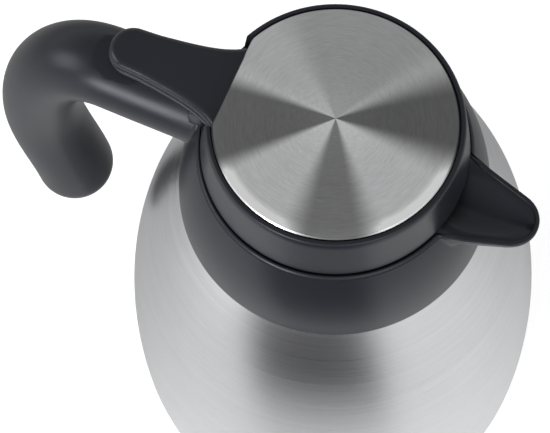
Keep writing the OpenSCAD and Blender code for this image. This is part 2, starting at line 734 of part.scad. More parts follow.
// Hollow plug under the lid: a flange screwed to the liner and a tapered cup with a seal groove.
module stopper() {
    low_r = stopper_r - (stopper_h - 3) * tan(stopper_lean);
    color([0.16, 0.16, 0.17]) rotate_extrude() difference() {
        polygon([[0, stopper_top], [flange_r, stopper_top], [flange_r, stopper_top - 2],
            [stopper_r, stopper_top - 3], [stopper_r, seal_z + seal_h], [stopper_r - 1.2, seal_z + seal_h],
            [stopper_r - 1.2, seal_z], [stopper_r - 0.4, seal_z],
            [low_r + 0.6, stopper_z + 0.8], [low_r - 0.4, stopper_z], [0, stopper_z]]);
        polygon([[0, stopper_z + stopper_wall], [low_r - stopper_wall, stopper_z + stopper_wall],
            [stopper_r - 1.2 - stopper_wall, seal_z], [stopper_r - 1.2 - stopper_wall, stopper_top + over],
            [0, stopper_top + over]]);
    }
}

module stopper_foam() {
    low_r = stopper_r - (stopper_h - 3) * tan(stopper_lean) - stopper_wall - 0.3;
    color([0.85, 0.83, 0.75]) rotate_extrude() polygon([[0, stopper_z + stopper_wall + 0.1],
        [low_r, stopper_z + stopper_wall + 0.1], [stopper_r - 1.5 - stopper_wall, seal_z],
        [stopper_r - 1.5 - stopper_wall, stopper_top - 0.4], [0, stopper_top - 0.4]]);
}

// Disc that closes the stopper from above, inside the lid.
module stopper_lid() {
    color([0.16, 0.16, 0.17]) translate([0, 0, stopper_top]) {
        cylinder(h = 1.6, r = stopper_r - 2 - slack);
        for (a = [0, 60, 120]) rotate([0, 0, a]) translate([-stopper_r + 4, -0.6, 1.6])
            cube([2 * stopper_r - 8, 1.2, 1.4]);
    }
}

module stopper_seal() {
    inner = stopper_r - 1.2;
    lip_r = throat_r + seat_w - 1;
    color([0.8, 0.8, 0.78]) rotate_extrude() polygon([
        [inner, seal_z], [inner, seal_z + seal_h], [inner + 2.2, seal_z + seal_h],
        [inner + 2.6, seal_z + seal_h - 1], [lip_r, seal_z + 0.9], [lip_r, seal_z + 0.5],
        [throat_r + 0.5, seal_z - 0.7], [stopper_r, seal_z - 0.2], [stopper_r, seal_z]]);
}

// ---- thumb lever ----
// Half of the lever's outline seen from above, from the root to the tip, moved in by a distance.
lever_half = concat(
    bez([seat_x, lever_root_w], [seat_x + 5.7, lever_root_w - 4.4],
        [seat_x + 12.7, lever_tip_r + 2.2], [tip_x - 6, lever_tip_r + 0.35], 16),
    arc(tip_x, 0, lever_tip_r, tip_turn, 0, 12));
function lever_outline(in) = let (
    n = len(lever_half) - 1,
    side = [for (i = [0:n]) let (
        d = i == n ? [0, -1] : unit(lever_half[i + 1] - lever_half[max(i - 1, 0)]))
        lever_half[i] + in * [d.y, -d.x]],
    root = [[seat_x, side[0].y]],
    half = concat(root, drop_first(side)))
    concat([for (p = half) [-p.x, p.y]], [for (i = [n - 1:-1:0]) [-half[i].x, -half[i].y]]);
function lever_ring(z, in) = flip([for (p = lever_outline(in)) [p.x, p.y, z]]);

module lever_cap() {
    edge = 1.9;
    low = lever_z - cap_t;
    taper = 0.1;
    color([0.13, 0.13, 0.14]) loft(concat([lever_ring(low, taper)],
        [for (a = [0:15:90]) lever_ring(lever_z - edge + edge * sin(a), edge * (1 - cos(a)))]));
}

module lever_slab(z, h, in) {
    translate([0, 0, z]) linear_extrude(h) polygon(lever_outline(in));
}

module lever_frame() {
    top = frame_z + frame_h;
    root_x = flat_x + 7.4;
    block_y = knuckle_y + knuckle_l;
    block_z = hinge_z + knuckle_r + 0.6;
    color([0.13, 0.13, 0.14]) difference() {
        union() {
            lever_slab(frame_z, frame_h, -0.35);
            lever_slab(frame_z + 0.5, lever_z - cap_t - frame_z - 0.5, 0.6);
            for (s = [-1, 1]) translate([-hinge_x, s * (knuckle_y + knuckle_l / 2), 0]) {
                translate([0, 0, hinge_z]) rotate([90, 0, 0])
                    cylinder(h = knuckle_l, r = knuckle_r, center = true);
                translate([-knuckle_r, -knuckle_l / 2, hinge_z])
                    cube([2 * knuckle_r, knuckle_l, top - hinge_z - 0.5]);
            }
            translate([-hinge_x - knuckle_r, -block_y, block_z])
                cube([hinge_x + knuckle_r - flat_x - slack, 2 * block_y, top - block_z - 0.5]);
        }
        // hollow under the arm
        intersection() {
            lever_slab(frame_z - over, frame_h - 1.2 + over, frame_wall);
            translate([-root_x - lever_reach, -lever_reach / 2, frame_z - 2 * over])
                cube([lever_reach, lever_reach, frame_h + 4 * over]);
        }
        translate([-hinge_x, 0, hinge_z]) rotate([90, 0, 0])
            cylinder(h = pin_l, r = pin_r + pin_fit, center = true);
        at_lever_screws() cylinder(h = lever_screw_l + 0.5, r = lid_screw_r);
    }
}

module lever_screws() {
    head_h = 1.3;
    head_r = 2;
    color([0.6, 0.6, 0.62]) at_lever_screws() {
        cylinder(h = lever_screw_l, r = lid_screw_r - 0.02);
        translate([0, 0, -head_h]) cylinder(h = head_h, r = head_r);
    }
}

outer_shell();
inner_flask();
base_cup();
base_cover();
getter();
foot_ring();
neck_ring();
neck_gasket();
collar();
handle();
handle_screws();
hinge_pin();
hinge_spring();
lid_shell();
lid_plate();
plate_pad();
lid_liner();
lid_screws();
stopper();
stopper_foam();
stopper_lid();
stopper_seal();
lever_frame();
lever_cap();
lever_screws();
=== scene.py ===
# %% [markdown]
# # A thermal carafe with a flip lid
# The carafe is a bell of brushed steel under a black moulding. The moulding carries the lid's
# hinge, the spout and a handle that hangs down beside the body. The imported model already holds
# every part at its true place, so this file only dresses it: each visible part is modelled again
# with smooth, rounded surfaces, and every part gets its finish.

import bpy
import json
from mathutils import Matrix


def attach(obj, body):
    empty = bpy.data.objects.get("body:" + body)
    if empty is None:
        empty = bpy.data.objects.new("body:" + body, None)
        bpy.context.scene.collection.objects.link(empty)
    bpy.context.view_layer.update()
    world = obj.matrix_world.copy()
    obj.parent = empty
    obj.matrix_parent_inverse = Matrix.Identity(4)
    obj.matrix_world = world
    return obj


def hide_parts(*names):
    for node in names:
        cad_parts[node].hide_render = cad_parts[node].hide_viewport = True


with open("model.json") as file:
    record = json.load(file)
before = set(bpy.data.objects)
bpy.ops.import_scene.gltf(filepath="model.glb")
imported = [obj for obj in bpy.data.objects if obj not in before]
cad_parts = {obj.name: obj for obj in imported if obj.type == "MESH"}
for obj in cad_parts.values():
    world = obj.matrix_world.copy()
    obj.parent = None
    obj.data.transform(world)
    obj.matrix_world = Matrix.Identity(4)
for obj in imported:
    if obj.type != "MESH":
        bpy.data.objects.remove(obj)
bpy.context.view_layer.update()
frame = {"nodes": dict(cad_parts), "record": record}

# %% The tools of the trade
import json
from math import atan2, cos, hypot, pi, radians, sin, sqrt, tan, tau

import bmesh
import bpy
from mathutils import Matrix, Vector

MM = 0.001
nodes = frame["nodes"]
print("lengths below are in millimetres and become metres when a mesh is made")

# %% [markdown]
# ## Curves in a plane
# Turned and moulded parts start from a drawn outline. A Bezier curve gives the long sweeps and an
# arc the rounded edges. An outline is a plain list of (distance from the axis, height) pairs, so it
# can be measured and joined in Python before Blender sees it.

# %% Outline helpers
def bezier(a, b, c, d, n=16):
    points = []
    for i in range(n + 1):
        t = i / n
        s = 1 - t
        k = (s * s * s, 3 * s * s * t, 3 * s * t * t, t * t * t)
        points.append(tuple(sum(w * p[j] for w, p in zip(k, (a, b, c, d))) for j in range(len(a))))
    return points


def arc(cx, cy, r, start, end, n=8):
    turn = [radians(start + (end - start) * i / n) for i in range(n + 1)]
    return [(cx + r * cos(a), cy + r * sin(a)) for a in turn]


def resample(path, n):
    """n points evenly spaced along a path of points."""
    run = [0.0]
    for p, q in zip(path, path[1:]):
        run.append(run[-1] + sqrt(sum((u - v) ** 2 for u, v in zip(p, q))))
    out, k = [], 0
    for i in range(n):
        want = run[-1] * i / (n - 1)
        while k < len(run) - 2 and run[k + 1] < want:
            k += 1
        t = (want - run[k]) / max(run[k + 1] - run[k], 1e-9)
        out.append(tuple(u + (v - u) * t for u, v in zip(path[k], path[k + 1])))
    return out


def lookup(x, table):
    """The second value where the first is x, between the entries of an ascending table."""
    if x <= table[0][0]:
        return table[0][1]
    for (x0, y0), (x1, y1) in zip(table, table[1:]):
        if x <= x1:
            return y0 + (y1 - y0) * (x - x0) / max(x1 - x0, 1e-9)
    return table[-1][1]


def smooth_max(a, b, k):
    h = max(k - abs(a - b), 0) / k
    return max(a, b) + h * h * k / 4


print("a quarter arc of radius 4:", [tuple(round(v, 1) for v in p) for p in arc(0, 0, 4, 0, 90, 3)])

# %% [markdown]
# ## Rings instead of a potter's wheel
# Nearly every part here is a stack of rings: the body is turned, the collar is turned but pulled
# out into a spout, the lid is turned with one side cut straight, and the handle is a bent bar. A
# circle is added and extruded once for each ring, its ends are closed or bridged, and then every
# ring is laid on its own outline. A lathe (Spin) would only make the first of these.

# %% Selecting
def nothing_selected():
    if bpy.context.object and bpy.context.object.mode != "OBJECT":
        bpy.ops.object.mode_set(mode="OBJECT")
    bpy.ops.object.select_all(action="DESELECT")


def only(piece):
    nothing_selected()
    piece.select_set(True)
    bpy.context.view_layer.objects.active = piece


def select_verts(piece, test):
    """In edit mode: selects the vertices that pass a test on their place."""
    bpy.ops.mesh.select_mode(type="VERT")
    mesh = bmesh.from_edit_mesh(piece.data)
    for v in mesh.verts:
        v.select = test(v.co)
    mesh.select_flush_mode()
    bmesh.update_edit_mesh(piece.data)


print("objects that loading left selected:", len(bpy.context.selected_objects))

# %% Edges and faces
HAIR = 1e-6  # two lengths in metres that differ by less are the same


def bevel(piece, wanted, width, segments):
    """Rounds the edges whose two ends pass a test."""
    only(piece)
    bpy.ops.object.mode_set(mode="EDIT")
    bpy.ops.mesh.select_mode(type="EDGE")
    mesh = bmesh.from_edit_mesh(piece.data)
    for e in mesh.edges:
        a, b = (v.co for v in e.verts)
        e.select = wanted(a, b)
    mesh.select_flush_mode()
    bmesh.update_edit_mesh(piece.data)
    bpy.ops.mesh.bevel(offset=width * MM, segments=segments)
    bpy.ops.object.mode_set(mode="OBJECT")


def outwards(piece):
    """Turns all faces outwards, which a Boolean needs too."""
    only(piece)
    bpy.ops.object.mode_set(mode="EDIT")
    bpy.ops.mesh.select_all(action="SELECT")
    bpy.ops.mesh.normals_make_consistent(inside=False)
    bpy.ops.object.mode_set(mode="OBJECT")


print("lengths closer than", HAIR, "m count as the same")

# %% A stack of rings
STEP = 0.001  # height of one extrusion, before the rings are laid in place


def ring_stack(name, rings, ends="fill"):
    """A piece from rings of (x, y, z) points in millimetres, anticlockwise from +X."""
    nothing_selected()
    n = len(rings[0])
    bpy.ops.mesh.primitive_circle_add(vertices=n, radius=0.05)
    piece = bpy.context.object
    piece.name = piece.data.name = name
    bpy.ops.object.mode_set(mode="EDIT")
    bpy.ops.mesh.select_all(action="SELECT")
    for _ in rings[1:]:
        bpy.ops.mesh.extrude_region_move(TRANSFORM_OT_translate={"value": (0, 0, STEP)})
    top = STEP * (len(rings) - 1)
    if ends == "bridge":
        select_verts(piece, lambda p: p.z < STEP / 2 or p.z > top - STEP / 2)
        bpy.ops.mesh.bridge_edge_loops()
    elif ends == "fill":
        select_verts(piece, lambda p: p.z < STEP / 2)
        bpy.ops.mesh.edge_face_add()
        select_verts(piece, lambda p: p.z > top - STEP / 2)
        bpy.ops.mesh.edge_face_add()
    bpy.ops.object.mode_set(mode="OBJECT")

    def place(v):
        return round(v.co.z / STEP), (atan2(v.co.y, v.co.x) + 0.001) % tau

    ordered = sorted(piece.data.vertices, key=place)
    flat = [p for ring in rings for p in ring]
    for v, p in zip(ordered, flat):
        v.co = Vector(p) * MM
    outwards(piece)
    return piece


def turned(profile, n):
    """Rings for a profile of (distance from the axis, height) pairs."""
    turn = [tau * j / n for j in range(n)]
    return [[(r * cos(a), r * sin(a), z) for a in turn] for r, z in profile]


print("rings start", STEP, "m apart")

# %% Finishing a piece
def finish_piece(piece, body, slot, *replaced, angle=32):
    """Turns faces outwards, smooths all but the sharp edges, and ties the piece to the model."""
    outwards(piece)
    bpy.ops.object.shade_smooth_by_angle(angle=radians(angle))
    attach(piece, body)
    if replaced:
        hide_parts(*replaced)
    size = [round(d / MM, 1) for d in piece.dimensions]
    print(piece.name, "is", size, "mm with", len(piece.data.polygons), "faces")
    return piece


print("a finished piece says its size")

# %% Booleans and what they cut with
def combine(piece, tool, operation):
    """Applies a Boolean with a second piece, which is used up."""
    change = piece.modifiers.new("combine", "BOOLEAN")
    change.object, change.operation, change.solver = tool, operation, "EXACT"
    only(piece)
    bpy.ops.object.modifier_apply(modifier=change.name)
    bpy.data.objects.remove(tool)
    outwards(piece)
    return piece


def block(low, high):
    """A box between two corners in millimetres."""
    nothing_selected()
    middle = [(a + b) / 2 * MM for a, b in zip(low, high)]
    bpy.ops.mesh.primitive_cube_add(size=1, location=middle)
    box = bpy.context.object
    box.scale = [(b - a) * MM for a, b in zip(low, high)]
    bpy.ops.object.transform_apply(location=True, rotation=True, scale=True)
    return box


def rod_y(x, z, r, length, y=0, verts=64):
    """A cylinder along Y, in millimetres."""
    nothing_selected()
    bpy.ops.mesh.primitive_cylinder_add(
        vertices=verts, radius=r * MM, depth=length * MM,
        location=(x * MM, y * MM, z * MM), rotation=(pi / 2, 0, 0))
    bpy.ops.object.transform_apply(location=True, rotation=True, scale=True)
    return bpy.context.object


print("helpers ready")

# %% [markdown]
# ## The steel body
# The real body is one sheet, 0.8 mm thick, spun into a bell: wide and nearly upright low down,
# then a long shoulder that closes to the neck. The outline is two Bezier curves that meet at the
# widest place, with a curl at the bottom edge and the neck that the collar hides.

# %% Outline of the body
SHOULDER = (51.6, 224.5)
BELLY = (78.6, 70)
BASE = (72.3, 6.2)
NECK_R, NECK_TOP = 36, 246.5
SHEET = 0.8
LEAN = radians(28.4)
LOW_LEAN = radians(9.9)

body_line = arc(68.3, 6.2, 4, -90, -12, 8)
body_line += bezier(BASE, (BASE[0] + 32 * sin(LOW_LEAN), BASE[1] + 32 * cos(LOW_LEAN)),
                    (BELLY[0], BELLY[1] - 16), BELLY, 24)
body_line += bezier(BELLY, (BELLY[0], BELLY[1] + 57),
                    (SHOULDER[0] + 42 * sin(LEAN), SHOULDER[1] - 42 * cos(LEAN)), SHOULDER, 48)[1:]
body_line += bezier(SHOULDER, (SHOULDER[0] - 7 * sin(LEAN), SHOULDER[1] + 7 * cos(LEAN)),
                    (NECK_R, SHOULDER[1] + 6.5), (NECK_R, SHOULDER[1] + 14), 12)[1:]
body_line.append((NECK_R, NECK_TOP))


def inside_of(line, t):
    """The same line moved in by the thickness of the sheet, from the top back down."""
    inner = []
    for i, p in enumerate(line):
        a, b = line[max(i - 1, 0)], line[min(i + 1, len(line) - 1)]
        d = hypot(b[0] - a[0], b[1] - a[1])
        inner.append((p[0] - t * (b[1] - a[1]) / d, p[1] + t * (b[0] - a[0]) / d))
    return inner[::-1]


body = ring_stack("body_shell", turned(body_line + inside_of(body_line, SHEET), 192), "bridge")
finish_piece(body, "carafe", "body_steel", "outer_shell")

# %% [markdown]
# ## The collar and its spout
# The collar is one moulding: a band that widens down to the steel. Opposite the handle its wall is
# drawn out into a V with a level rim and a round tip, and inside it a trough leads from the throat.
# Each ring follows the band all the way round, and the V where that reaches further out. The
# change between the two is rounded off.

# %% Outline of the band and of the V
SEAM = 260.2
TIP_X, TIP_R = 68.8, 9.0
SPOUT_TIP = TIP_X - TIP_R
SPOUT_SLOPE = radians(16.8)
RIM_R, WALL_R, WALL, EDGE = 44.2, 40.2, 1.7, 1.6
collar_side = bezier((51.9, 224.5), (51.46, 236.28), (48.5, 248.78), (RIM_R, SEAM - EDGE), 40)
collar_radius = [(z, r) for r, z in collar_side]


def side_r(z):
    return lookup(z, collar_radius)


def half_width(x, inset=0.0):
    """Half width of the V at a distance from the axis, moved in by the wall."""
    r = TIP_R - inset
    touch = SPOUT_TIP + r * sin(SPOUT_SLOPE)
    if x <= touch:
        return r * cos(SPOUT_SLOPE) + (touch - x) * tan(SPOUT_SLOPE)
    return sqrt(max(r * r - (x - SPOUT_TIP) ** 2, 0))


def rim_z(x):
    return SEAM - lookup(x, [(40.5, 0), (42.5, 0.5), (45, 1.6), (48, 2.3), (51, 2.5)])


print("the band is", round(side_r(240), 1), "mm from the axis half way up")

# %% The trough inside and the bow outside
# Height of the trough's floor in its middle, at distances from the axis.
KEEL = [(30, 250.6), (36, 251.4), (44, 252.2), (52, 252.9), (58, 253.8), (62, 254.8), (64.8, 256.0),
        (66.8, 257.4)]
ROUND = 0.65  # 0 gives the trough straight sides, 1 a parabola
NEAR = 0.6  # radians to both sides of the spout in which the V can reach out
FILLET = 2.4  # rounding between the V and the band


def trough(x, y):
    """Height of the trough's floor over a place, or None outside it."""
    w = half_width(x, WALL)
    if w <= 0 or abs(y) >= w:
        return None
    q = (ROUND - 1 + sqrt((1 - ROUND) ** 2 + 4 * ROUND * abs(y) / w)) / (2 * ROUND)
    low = lookup(x, KEEL)
    return low + (rim_z(x) - low) * q * q


def bow(z, out_r, top):
    """Outside of the spout: upright below the rim, then curved back under to the band."""
    deep = 4 - 2.6 * max(out_r - RIM_R, 0) / 25
    turn_z = top - deep
    beyond = max(out_r - side_r(turn_z), 0)
    if z >= turn_z:
        return out_r
    t = min((turn_z - z) / (4 + 0.4 * beyond), 1)
    low = side_r(z) - FILLET
    return low + (out_r - low) * (1 - t ** 1.5)


def rim_reach(a, inset, ring):
    """The rim seen from above: the band's circle or the V, whichever is further."""
    if abs(a) > NEAR:
        return ring
    r = 70.0
    while r > 36:
        if abs(r * sin(a)) < half_width(r * cos(a), inset):
            break
        r -= 0.02
    return smooth_max(ring, r, 1.2)


print("spout tip at", round(rim_reach(0, 0, RIM_R), 1), "mm, rim there at", round(rim_z(68), 1))

# %% Lines that the collar's sections share
LOW_Z = SHOULDER[1]
SEGMENTS = 320
OUTER_N, INNER_N, DECK_N = 26, 12, 9
# The top edge as steps in and up from the wall: with a fine groove, a bead and a gap under the lid
# round the band, and plainly rounded along the spout.
BEAD = [(0, -EDGE), (0.28, -1.5), (0.34, -1.35), (0.16, -1.2), (0.1, -1.05), (0.3, -0.7),
        (0.55, -0.42), (0.8, -0.22), (1.15, -0.2), (1.22, -1.3), (2.2, -1.35), (2.3, -0.1)]
LIP = [(0, -EDGE), (0, -1.45), (0, -1.3), (0, -1.1), (0, -0.9), (0.05, -0.6), (0.2, -0.3),
       (0.4, -0.1), (0.6, -0.02), (0.8, 0), (0.9, 0), (1.0, 0)]
DECK = [(39.7, 255.5), (37.5, 254.4), (35.2, 253.3), (33, 252.2), (31.2, 251.1), (29.5, 250.2)]
# Throat, sleeve, the channel over the neck and the inside of the skirt, down to the lower edge.
INSIDE = [(29.1, 249.9), (29, 249.3), (29, 240), (29, 229), (29.4, 228.5), (30.8, 228.5),
          (31.2, 229), (31.2, 247.7), (38.15, 247.7), (38.15, 238.5), (40.15, 238.5),
          (40.15, 247.7), (44, 247.7), (47, 237), (49.3, 227.8), (51.7, 224.5)]
print("the inside of the collar turns at", len(INSIDE), "places")

# %% One section of the collar
def collar_directions():
    """Directions of the ring points, closer together at the spout."""
    turn = [tau * j / SEGMENTS for j in range(SEGMENTS)]
    return [a - 0.42 * sin(a) * ((1 + cos(a)) / 2) ** 3 for a in turn]


def collar_section(a):
    """The collar's section in one direction, from its lower edge round and back."""
    a = (a + pi) % tau - pi
    near = abs(a) < NEAR
    out_r = rim_reach(a, 0, RIM_R)
    in_r = rim_reach(a, WALL, WALL_R)
    top = rim_z(out_r * cos(a)) if near else SEAM
    path = []
    for i in range(61):
        z = LOW_Z + (top - EDGE - LOW_Z) * (i / 60) ** 0.8
        r = side_r(z)
        if near:
            r = smooth_max(r, bow(z, out_r, top), FILLET)
        path.append((max(min(r, out_r), side_r(z)), z))
    path[-1] = (out_r, top - EDGE)
    section = resample(path, OUTER_N)
    k = min(max((46.4 - out_r) / 2, 0), 1)
    for (d0, h0), (d1, h1) in list(zip(LIP, BEAD))[1:]:
        section.append((out_r - d0 - (d1 - d0) * k, top + h0 + (h1 - h0) * k))
    section += [(in_r + 0.6, top), (in_r + 0.25, top - 0.15), (in_r, top - 0.6)]
    path = [(in_r, top - 0.6)]
    if in_r > WALL_R + 0.3:
        for i in range(1, 41):
            r = in_r + (WALL_R + 0.1 - in_r) * i / 40
            floor = trough(r * cos(a), r * sin(a))
            path.append((r, min(top - 0.6, floor if floor is not None else top)))
    deck = DECK
    if near:
        lower = []
        for r, z in DECK:
            floor = trough(r * cos(a), r * sin(a))
            lower.append((r, z if floor is None else smooth_max(-z, -floor, 0.8) * -1))
        deck = lower
    path.append(deck[0])
    section += resample(path, INNER_N)[1:]
    section += resample(deck, DECK_N)[1:]
    return section + INSIDE


print("a section has", len(collar_section(0)), "points")

# %% Rings of the collar
directions = collar_directions()
sections = [collar_section(a) for a in directions]
rings = [[(s[k][0] * cos(a), s[k][0] * sin(a), s[k][1]) for s, a in zip(sections, directions)]
         for k in range(len(sections[0]))]
collar = ring_stack("collar_moulding", rings, "bridge")
print("the collar has", len(rings), "rings of", SEGMENTS, "points")

# %% [markdown]
# ## The hinge lugs
# Two lugs stand on the collar's rim behind the lid and hold the ends of the pin. Each is a small
# block: its upper edges are rounded as far as they go, the rim of its outer face is softened, and
# then it is joined to the collar. The pin is a plain rod that ends inside the lugs.

# %% Lugs
HINGE_X, HINGE_Z = -43.5, 265.0
LUG_Y, LUG_T, LUG_R = 8.2, 2.2, 3.0

for side in (-1, 1):
    y0, y1 = sorted((side * LUG_Y, side * (LUG_Y + LUG_T)))
    lug = block((HINGE_X - LUG_R, y0, 256.5), (HINGE_X + LUG_R, y1, HINGE_Z + LUG_R))
    lug.name = "lug"
    face = side * (LUG_Y + LUG_T) * MM
    bevel(lug, lambda a, b: min(a.z, b.z) > HINGE_Z * MM and abs(a.x - b.x) < HAIR,
          LUG_R * 0.98, 10)
    bevel(lug, lambda a, b: abs(a.y - face) < HAIR and abs(b.y - face) < HAIR, 1.0, 4)
    combine(collar, lug, "UNION")

finish_piece(collar, "carafe", "black_plastic", "collar", angle=38)

# %% The pin ends inside the lugs
pin = rod_y(HINGE_X, HINGE_Z, 1.5, 2 * (LUG_Y + LUG_T) - 1.2)
pin.name = pin.data.name = "pin"
bevel(pin, lambda a, b: abs(a.y - b.y) < HAIR, 0.3, 3)
finish_piece(pin, "carafe", "pin_steel", "hinge_pin")

# %% [markdown]
# ## The handle
# The handle is a round bar. It leaves the collar level, rises a little towards the bend, comes
# down in one sweep, grows a little thicker and ends in a dome. Its first rings lie on the collar's
# curved side as a low lip. Two shallow cuts leave room for the lever and the hinge.

# %% Centre line of the handle
ARM_Z, ARM_R, GRIP_R = 250.8, 13.4, 14.7
RISE, REACH = 0.5, 113.8
centre = [(-x, ARM_Z + RISE * ((x - 55) / 23) ** 2) for x in (55, 58, 62, 66, 70, 74)]
centre += bezier((-78, ARM_Z + RISE), (-100, ARM_Z + RISE * 3), (-REACH, 209.1),
                 (-REACH, 182.3), 40)
centre += bezier((-REACH, 182.3), (-REACH, 166.3), (-109.5, 152.1), (-108.1, 136.1), 18)[1:]
SIDES = 72
print("the handle's centre line ends at", centre[-1])


def bar_ring(p, direction, r):
    up = (direction[1], -direction[0])
    ring = []
    for j in range(SIDES):
        a = tau * j / SIDES
        ring.append((p[0] + up[0] * r * cos(a), r * sin(a), p[1] + up[1] * r * cos(a)))
    return ring


def root_ring(r, out):
    """A ring on the collar's side, or a little outside it."""
    ring = []
    for j in range(SIDES):
        a = tau * j / SIDES
        y, z = r * sin(a), ARM_Z + r * cos(a)
        wall = (side_r(z) if z < SEAM - 1 else RIM_R) + out
        ring.append((-sqrt(wall * wall - y * y), y, z))
    return ring


print("the handle leaves the collar at x", round(root_ring(ARM_R, 0)[0][0], 1))

# %% Rings of the handle
rings = [root_ring(ARM_R - 2.4, -0.6), root_ring(ARM_R + 0.1, -0.5), root_ring(ARM_R + 0.35, 0.3),
         root_ring(ARM_R + 0.3, 0.75), root_ring(ARM_R + 0.05, 1.15), root_ring(ARM_R, 1.5)]
last = len(centre) - 1
for i, p in enumerate(centre):
    a, b = centre[max(i - 1, 0)], centre[min(i + 1, last)]
    d = hypot(b[0] - a[0], b[1] - a[1])
    heading = ((b[0] - a[0]) / d, (b[1] - a[1]) / d)
    down = max(0.0, (ARM_Z - p[1]) / (ARM_Z - centre[last][1]))
    rings.append(bar_ring(p, heading, ARM_R + (GRIP_R - ARM_R) * down ** 1.5))
for i in range(1, 13):
    a = radians(7.4 * i)
    p = tuple(end + to * GRIP_R * sin(a) for end, to in zip(centre[last], heading))
    rings.append(bar_ring(p, heading, GRIP_R * cos(a)))
handle = ring_stack("handle_bar", rings)
print("the handle has", len(rings), "rings")

# %% Room for the hinge and the lever's tip
ROOM_Y = 8.3  # half width of the room for the knuckles
LEVER_END = 76.2
OPEN = radians(13)  # how far the lid turns
UNDER = 5.5  # height of the lever's underside over the pin
RELIEF_R, RELIEF_GAP = 22, 0.9

combine(handle, rod_y(HINGE_X, HINGE_Z, 3.6, 2 * ROOM_Y), "DIFFERENCE")
combine(handle, block((HINGE_X - 1, -ROOM_Y, HINGE_Z - 0.4), (HINGE_X + 8, ROOM_Y, HINGE_Z + 12)),
        "DIFFERENCE")
relief_z = HINGE_Z + UNDER * cos(OPEN) - (LEVER_END + HINGE_X) * sin(OPEN) - RELIEF_GAP
combine(handle, rod_y(3.2 - LEVER_END, relief_z + RELIEF_R, RELIEF_R, 50, verts=160), "DIFFERENCE")
finish_piece(handle, "carafe", "black_plastic", "handle", angle=38)

# %% [markdown]
# ## The lid
# Seen from above, the lid is a circle with one straight side towards the handle. All its rings
# share one way of sampling that outline, so the rounded corners line up from ring to ring. The
# top is a shallow bed for the plate, then a rounded shoulder, a side that leans in, and a hollow
# inside.

# %% The D-shaped outline
ARC_N, CORNER_N, FLAT_N = 130, 12, 17


def d_outline(r, flat, corner):
    """Half of the outline, from +X over the top to the middle of the straight side, and back."""
    cx = flat - corner
    cy = sqrt(max((r - corner) ** 2 - cx * cx, 1e-6))
    meet = atan2(cy, -cx)
    half = [(r * cos(meet * i / ARC_N), r * sin(meet * i / ARC_N)) for i in range(ARC_N)]
    for i in range(CORNER_N):
        a = meet + (pi - meet) * i / CORNER_N
        half.append((-cx + corner * cos(a), cy + corner * sin(a)))
    half += [(-flat, cy * (1 - i / FLAT_N)) for i in range(FLAT_N + 1)]
    return half + [(x, -y) for x, y in half[-2:0:-1]]


def d_ring(r, flat, corner, z, shrink=1.0, dome=None):
    ring = []
    for x, y in d_outline(r, flat, corner):
        x, y = x * shrink, y * shrink
        ring.append((x, y, z + (dome(hypot(x, y)) if dome else 0)))
    return ring


PLATE_R, CHORD = 38.0, 34.5
PLATE_TOP, PLATE_T = 281.0, 1.5


def crown(r):
    """Rise of the plate's dome at a distance from the axis."""
    return 2.4 * (1 - (r / PLATE_R) ** 2)


print("the lid's outline has", len(d_outline(42.7, 39.6, 3.5)), "points")

# %% Shell of the lid
LID_Z = SEAM + 0.7
BED = PLATE_TOP - PLATE_T - 0.15
rings = [d_ring(38.3, 36, 0.6, BED, s, crown) for s in (0.02, 0.2, 0.4, 0.6, 0.75, 0.87, 0.95, 1)]
rings += [d_ring(38.3, 36, 0.6, 280.1), d_ring(38.45, 36.2, 0.6, 280.4)]
rings += [d_ring(38.8, 36.6, 0.8, 280.5)]
shoulder = bezier((39.3, 280.5), (39.9, 280.5), (40.3, 279.3), (40.5, 277.7), 8)
rings += [d_ring(r, 37.1 + 2.5 * i / 8, 1 + 2.5 * i / 8, z) for i, (r, z) in enumerate(shoulder)]
rings += [d_ring(40.5 + 2.12 * t, 39.6, 3.5, 277.7 - 16.4 * t)
          for t in (0.08, 0.3, 0.6, 0.85, 0.97, 1)]
rings += [d_ring(42.6, 39.58, 3.48, LID_Z + 0.1), d_ring(42.4, 39.4, 3.3, LID_Z)]
rings += [d_ring(40.8, 37.7, 1.6, LID_Z), d_ring(40.6, 37.6, 1.5, LID_Z + 0.3)]
rings += [d_ring(39.7, 37.6, 1.5, 268.2), d_ring(39.7, 32.8, 1.5, 268.25)]
rings += [d_ring(38.3, 32.8, 1.5, 277.3)]
rings += [d_ring(38.3, 32.8, 1.5, BED - 2, s, crown) for s in (0.99, 0.8, 0.6, 0.4, 0.2, 0.02)]
lid = ring_stack("lid_body", rings)
combine(lid, block((-50, -16.4, 270.35), (-34.8, 16.4, 300)), "DIFFERENCE")
finish_piece(lid, "lid", "black_plastic", "lid_shell", angle=32)

# %% [markdown]
# ## The steel plate
# The inlay is a disc, 1.5 mm thick and slightly domed, cut to the same D. A narrow bevel runs round
# its edge, along the straight side too, and shows as a bright line.

# %% Plate
BEVEL = 0.4
low = PLATE_TOP - PLATE_T
rings = [d_ring(37.7, CHORD - 0.3, 0.4, low, s, crown) for s in (0.02, 0.25, 0.5, 0.75, 1)]
rings += [d_ring(PLATE_R, CHORD, 0.6, low + 0.35), d_ring(PLATE_R, CHORD, 0.6, PLATE_TOP - 0.5)]
inner = (PLATE_R - BEVEL, CHORD - BEVEL, 0.45)
drop = crown(inner[0])
rings += [d_ring(*inner, PLATE_TOP - drop, s, crown)
          for s in (1, 0.97, 0.9, 0.8, 0.7, 0.6, 0.5, 0.4, 0.3, 0.2, 0.1, 0.05, 0.01)]
plate = ring_stack("lid_plate_disc", rings)
finish_piece(plate, "lid", "plate_steel", "lid_plate", angle=20)

# %% [markdown]
# ## The thumb lever
# The lever is two mouldings. The cap is flat on top, as wide as the plate's straight side at its
# root, narrow and round at its tip, and its edge rolls over. Below a thin groove lies the frame,
# whose flange stands out a little further than the cap and catches the light.

